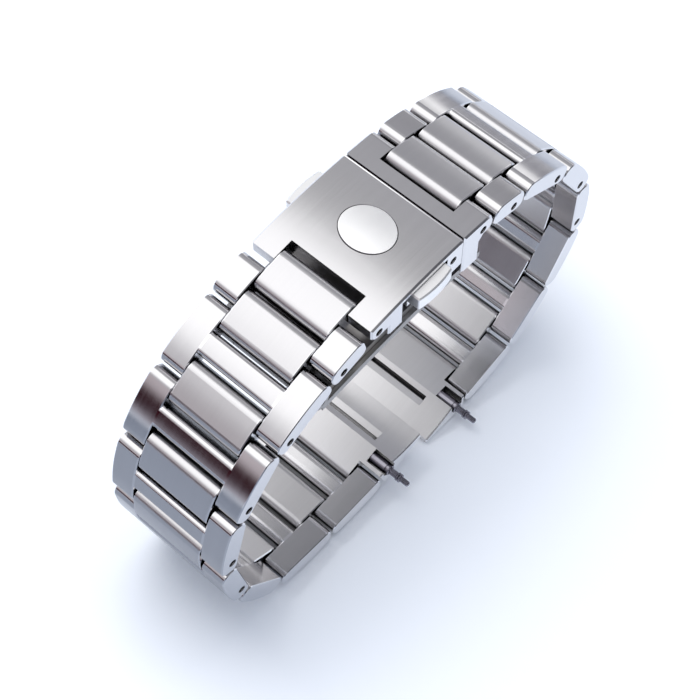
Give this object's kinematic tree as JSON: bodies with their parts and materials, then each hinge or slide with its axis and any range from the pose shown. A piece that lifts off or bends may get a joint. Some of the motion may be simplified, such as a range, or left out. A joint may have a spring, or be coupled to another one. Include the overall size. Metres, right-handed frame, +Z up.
{
  "type": "link watch bracelet",
  "caption": "Steel link watch bracelet: brushed outer links and centre plates on pins, folding clasp with two push buttons, curved end links with spring bars.",
  "frame": {"origin": "middle of the footprint of the closed bracelet as it stands on its watch end", "axes": "+X along the oval's long axis, the short part of the clasp's top towards +X; +Y along the pins; +Z up towards the clasp"},
  "size_m": [0.076, 0.0252, 0.0507],
  "materials": {
    "brushed_steel": "fine brushing along the band, rolled ends polished",
    "polished_steel": "mirror polished",
    "inner_steel": "satin",
    "pin_steel": "turned",
    "dark_steel": "turned, dark",
    "spring_steel": "drawn wire"
  },
  "bodies": {
    "clasp_base": {"clasp_base_blade": "inner_steel", "clasp_end_block": "brushed_steel", "clasp_catch": "inner_steel", "clasp_base_pins": "pin_steel"},
    "clasp_middle_blade": {"clasp_middle_blade": "inner_steel"},
    "clasp_cover": {"clasp_cover": "brushed_steel", "clasp_plaque": "polished_steel", "clasp_button_springs": "spring_steel", "clasp_cover_pins": "pin_steel"},
    "clasp_near_button": {"clasp_near_button": "polished_steel"},
    "clasp_far_button": {"clasp_far_button": "polished_steel"},
    "left_plate_1": {"left_plate_1": "brushed_steel"},
    "left_short_link": {"left_short_link": "brushed_steel", "left_link_1_pins": "pin_steel"},
    "left_plate_2": {"left_plate_2": "brushed_steel"},
    "left_link_2": {"left_link_2": "brushed_steel", "left_link_2_pins": "pin_steel"},
    "left_plate_3": {"left_plate_3": "brushed_steel"},
    "left_link_3": {"left_link_3": "brushed_steel", "left_link_3_pins": "pin_steel"},
    "left_plate_4": {"left_plate_4": "brushed_steel"},
    "left_link_4": {"left_link_4": "brushed_steel", "left_link_4_pins": "pin_steel"},
    "left_plate_5": {"left_plate_5": "brushed_steel"},
    "left_link_5": {"left_link_5": "brushed_steel", "left_link_5_pins": "pin_steel"},
    "left_plate_6": {"left_plate_6": "brushed_steel"},
    "left_link_6": {"left_link_6": "brushed_steel"},
    "left_plate_7": {"left_plate_7": "brushed_steel"},
    "left_link_7": {"left_link_7": "brushed_steel"},
    "left_plate_8": {"left_plate_8": "brushed_steel"},
    "left_link_8": {"left_link_8": "brushed_steel"},
    "left_end_link": {"left_end_link": "brushed_steel"},
    "left_spring_bar": {"left_spring_bar_tube": "dark_steel", "left_spring_bar_spring": "dark_steel"},
    "left_spring_bar_near_tip": {"left_spring_bar_near_tip": "dark_steel"},
    "left_spring_bar_far_tip": {"left_spring_bar_far_tip": "dark_steel"},
    "right_plate_1": {"right_plate_1": "brushed_steel"},
    "right_short_link": {"right_short_link": "brushed_steel", "right_link_1_pins": "pin_steel"},
    "right_plate_2": {"right_plate_2": "brushed_steel"},
    "right_link_2": {"right_link_2": "brushed_steel", "right_link_2_pins": "pin_steel"},
    "right_plate_3": {"right_plate_3": "brushed_steel"},
    "right_link_3": {"right_link_3": "brushed_steel", "right_link_3_pins": "pin_steel"},
    "right_plate_4": {"right_plate_4": "brushed_steel"},
    "right_link_4": {"right_link_4": "brushed_steel", "right_link_4_pins": "pin_steel"},
    "right_plate_5": {"right_plate_5": "brushed_steel"},
    "right_link_5": {"right_link_5": "brushed_steel"},
    "right_plate_6": {"right_plate_6": "brushed_steel"},
    "right_link_6": {"right_link_6": "brushed_steel"},
    "right_plate_7": {"right_plate_7": "brushed_steel"},
    "right_link_7": {"right_link_7": "brushed_steel"},
    "right_end_link": {"right_end_link": "brushed_steel"},
    "right_spring_bar": {"right_spring_bar_tube": "dark_steel", "right_spring_bar_spring": "dark_steel"},
    "right_spring_bar_near_tip": {"right_spring_bar_near_tip": "dark_steel"},
    "right_spring_bar_far_tip": {"right_spring_bar_far_tip": "dark_steel"}
  },
  "joints": [
    {"name": "clasp_fold", "type": "hinge", "parent": "clasp_base", "child": "clasp_middle_blade", "pos_m": [-0.01823, 0.00105, 0.0421], "axis": [0, -1, 0], "range_deg": [0, 150]},
    {"name": "cover_fold", "type": "hinge", "parent": "clasp_middle_blade", "child": "clasp_cover", "pos_m": [0.00552, 0.00105, 0.04791], "axis": [0, 1, 0], "range_deg": [0, 120]},
    {"name": "near_button_press", "type": "slide", "parent": "clasp_cover", "child": "clasp_near_button", "axis": [0, 1, 0], "range_m": [0, 0.0009], "stiffness_N_per_m": 1500},
    {"name": "far_button_press", "type": "slide", "parent": "clasp_cover", "child": "clasp_far_button", "axis": [0, -1, 0], "range_m": [0, 0.0009], "stiffness_N_per_m": 1500},
    {"name": "left_plate_1_turn", "type": "hinge", "parent": "clasp_cover", "child": "left_plate_1", "pos_m": [-0.0086, 0.00105, 0.04779], "axis": [0, 1, 0], "range_deg": [0, 15]},
    {"name": "left_short_link_turn", "type": "hinge", "parent": "left_plate_1", "child": "left_short_link", "pos_m": [-0.01289, 0.00105, 0.04682], "axis": [0, 1, 0], "range_deg": [0, 7]},
    {"name": "left_plate_2_turn", "type": "hinge", "parent": "left_short_link", "child": "left_plate_2", "pos_m": [-0.01501, 0.00105, 0.04622], "axis": [0, 1, 0], "range_deg": [0, 11]},
    {"name": "left_link_2_turn", "type": "hinge", "parent": "left_plate_2", "child": "left_link_2", "pos_m": [-0.01907, 0.00105, 0.04453], "axis": [0, 1, 0], "range_deg": [-3, 8]},
    {"name": "left_plate_3_turn", "type": "hinge", "parent": "left_link_2", "child": "left_plate_3", "pos_m": [-0.0247, 0.00105, 0.0417], "axis": [0, 1, 0], "range_deg": [-4, 13]},
    {"name": "left_link_3_turn", "type": "hinge", "parent": "left_plate_3", "child": "left_link_3", "pos_m": [-0.02827, 0.00105, 0.03913], "axis": [0, 1, 0], "range_deg": [-4, 18]},
    {"name": "left_plate_4_turn", "type": "hinge", "parent": "left_link_3", "child": "left_plate_4", "pos_m": [-0.03234, 0.00105, 0.03432], "axis": [0, 1, 0], "range_deg": [-4, 18]},
    {"name": "left_link_4_turn", "type": "hinge", "parent": "left_plate_4", "child": "left_link_4", "pos_m": [-0.03429, 0.00105, 0.03038], "axis": [0, 1, 0], "range_deg": [-4, 16]},
    {"name": "left_plate_5_turn", "type": "hinge", "parent": "left_link_4", "child": "left_plate_5", "pos_m": [-0.03585, 0.00105, 0.02427], "axis": [0, 1, 0], "range_deg": [-4, 17]},
    {"name": "left_link_5_turn", "type": "hinge", "parent": "left_plate_5", "child": "left_link_5", "pos_m": [-0.03595, 0.00105, 0.01988], "axis": [0, 1, 0], "range_deg": [-4, 17]},
    {"name": "left_plate_6_turn", "type": "hinge", "parent": "left_link_5", "child": "left_plate_6", "pos_m": [-0.03467, 0.00105, 0.01371], "axis": [0, 1, 0], "range_deg": [-4, 17]},
    {"name": "left_link_6_turn", "type": "hinge", "parent": "left_plate_6", "child": "left_link_6", "pos_m": [-0.03283, 0.00105, 0.00971], "axis": [0, 1, 0], "range_deg": [-4, 19]},
    {"name": "left_plate_7_turn", "type": "hinge", "parent": "left_link_6", "child": "left_plate_7", "pos_m": [-0.02881, 0.00105, 0.00486], "axis": [0, 1, 0], "range_deg": [-6, 27]},
    {"name": "left_link_7_turn", "type": "hinge", "parent": "left_plate_7", "child": "left_link_7", "pos_m": [-0.0249, 0.00105, 0.00284], "axis": [0, 1, 0], "range_deg": [-8, 27]},
    {"name": "left_plate_8_turn", "type": "hinge", "parent": "left_link_7", "child": "left_plate_8", "pos_m": [-0.01862, 0.00105, 0.00237], "axis": [0, 1, 0], "range_deg": [-10, 8]},
    {"name": "left_link_8_turn", "type": "hinge", "parent": "left_plate_8", "child": "left_link_8", "pos_m": [-0.01422, 0.00105, 0.00235], "axis": [0, 1, 0], "range_deg": [-10, 7]},
    {"name": "left_end_link_turn", "type": "hinge", "parent": "left_link_8", "child": "left_end_link", "pos_m": [-0.00792, 0.00105, 0.00264], "axis": [0, 1, 0], "range_deg": [-20, 21]},
    {"name": "left_spring_bar_slip", "type": "slide", "parent": "left_end_link", "child": "left_spring_bar", "axis": [0, 1, 0], "range_m": [-0.0004, 0.0032]},
    {"name": "left_spring_bar_near_tip_press", "type": "slide", "parent": "left_spring_bar", "child": "left_spring_bar_near_tip", "axis": [0, 1, 0], "range_m": [0, 0.0012], "stiffness_N_per_m": 1500},
    {"name": "left_spring_bar_far_tip_press", "type": "slide", "parent": "left_spring_bar", "child": "left_spring_bar_far_tip", "axis": [0, -1, 0], "range_m": [0, 0.0012], "stiffness_N_per_m": 1500},
    {"name": "right_plate_1_turn", "type": "hinge", "parent": "clasp_base", "child": "right_plate_1", "pos_m": [0.01139, 0.00105, 0.04838], "axis": [0, -1, 0], "range_deg": [0, 19]},
    {"name": "right_short_link_turn", "type": "hinge", "parent": "right_plate_1", "child": "right_short_link", "pos_m": [0.01567, 0.00105, 0.04737], "axis": [0, -1, 0], "range_deg": [0, 4]},
    {"name": "right_plate_2_turn", "type": "hinge", "parent": "right_short_link", "child": "right_plate_2", "pos_m": [0.01782, 0.00105, 0.04686], "axis": [0, -1, 0], "range_deg": [0, 6]},
    {"name": "right_link_2_turn", "type": "hinge", "parent": "right_plate_2", "child": "right_link_2", "pos_m": [0.02206, 0.00105, 0.0457], "axis": [0, -1, 0], "range_deg": [-1, 15]},
    {"name": "right_plate_3_turn", "type": "hinge", "parent": "right_link_2", "child": "right_plate_3", "pos_m": [0.02771, 0.00105, 0.04291], "axis": [0, -1, 0], "range_deg": [-1, 18]},
    {"name": "right_link_3_turn", "type": "hinge", "parent": "right_plate_3", "child": "right_link_3", "pos_m": [0.03106, 0.00105, 0.04006], "axis": [0, -1, 0], "range_deg": [-1, 21]},
    {"name": "right_plate_4_turn", "type": "hinge", "parent": "right_link_3", "child": "right_plate_4", "pos_m": [0.03447, 0.00105, 0.03476], "axis": [0, -1, 0], "range_deg": [-1, 20]},
    {"name": "right_link_4_turn", "type": "hinge", "parent": "right_plate_4", "child": "right_link_4", "pos_m": [0.03573, 0.00105, 0.03055], "axis": [0, -1, 0], "range_deg": [-1, 18]},
    {"name": "right_plate_5_turn", "type": "hinge", "parent": "right_link_4", "child": "right_plate_5", "pos_m": [0.03603, 0.00105, 0.02425], "axis": [0, -1, 0], "range_deg": [-1, 16]},
    {"name": "right_link_5_turn", "type": "hinge", "parent": "right_plate_5", "child": "right_link_5", "pos_m": [0.03532, 0.00105, 0.01991], "axis": [0, -1, 0], "range_deg": [-1, 23]},
    {"name": "right_plate_6_turn", "type": "hinge", "parent": "right_link_5", "child": "right_plate_6", "pos_m": [0.03233, 0.00105, 0.01437], "axis": [0, -1, 0], "range_deg": [-2, 11]},
    {"name": "right_link_6_turn", "type": "hinge", "parent": "right_plate_6", "child": "right_link_6", "pos_m": [0.02979, 0.00105, 0.01077], "axis": [0, -1, 0], "range_deg": [-3, 13]},
    {"name": "right_plate_7_turn", "type": "hinge", "parent": "right_link_6", "child": "right_plate_7", "pos_m": [0.02539, 0.00105, 0.00627], "axis": [0, -1, 0], "range_deg": [-8, 20]},
    {"name": "right_link_7_turn", "type": "hinge", "parent": "right_plate_7", "child": "right_link_7", "pos_m": [0.02157, 0.00105, 0.00409], "axis": [0, -1, 0], "range_deg": [-10, 17]},
    {"name": "right_end_link_turn", "type": "hinge", "parent": "right_link_7", "child": "right_end_link", "pos_m": [0.01553, 0.00105, 0.00228], "axis": [0, -1, 0], "range_deg": [-20, 19]},
    {"name": "right_spring_bar_slip", "type": "slide", "parent": "right_end_link", "child": "right_spring_bar", "axis": [0, 1, 0], "range_m": [-0.0004, 0.0032]},
    {"name": "right_spring_bar_near_tip_press", "type": "slide", "parent": "right_spring_bar", "child": "right_spring_bar_near_tip", "axis": [0, 1, 0], "range_m": [0, 0.0012], "stiffness_N_per_m": 1500},
    {"name": "right_spring_bar_far_tip_press", "type": "slide", "parent": "right_spring_bar", "child": "right_spring_bar_far_tip", "axis": [0, -1, 0], "range_m": [0, 0.0012], "stiffness_N_per_m": 1500}
  ],
  "couplings": [
    {"joint": "cover_fold", "follows": "clasp_fold", "ratio": 0.8}
  ]
}
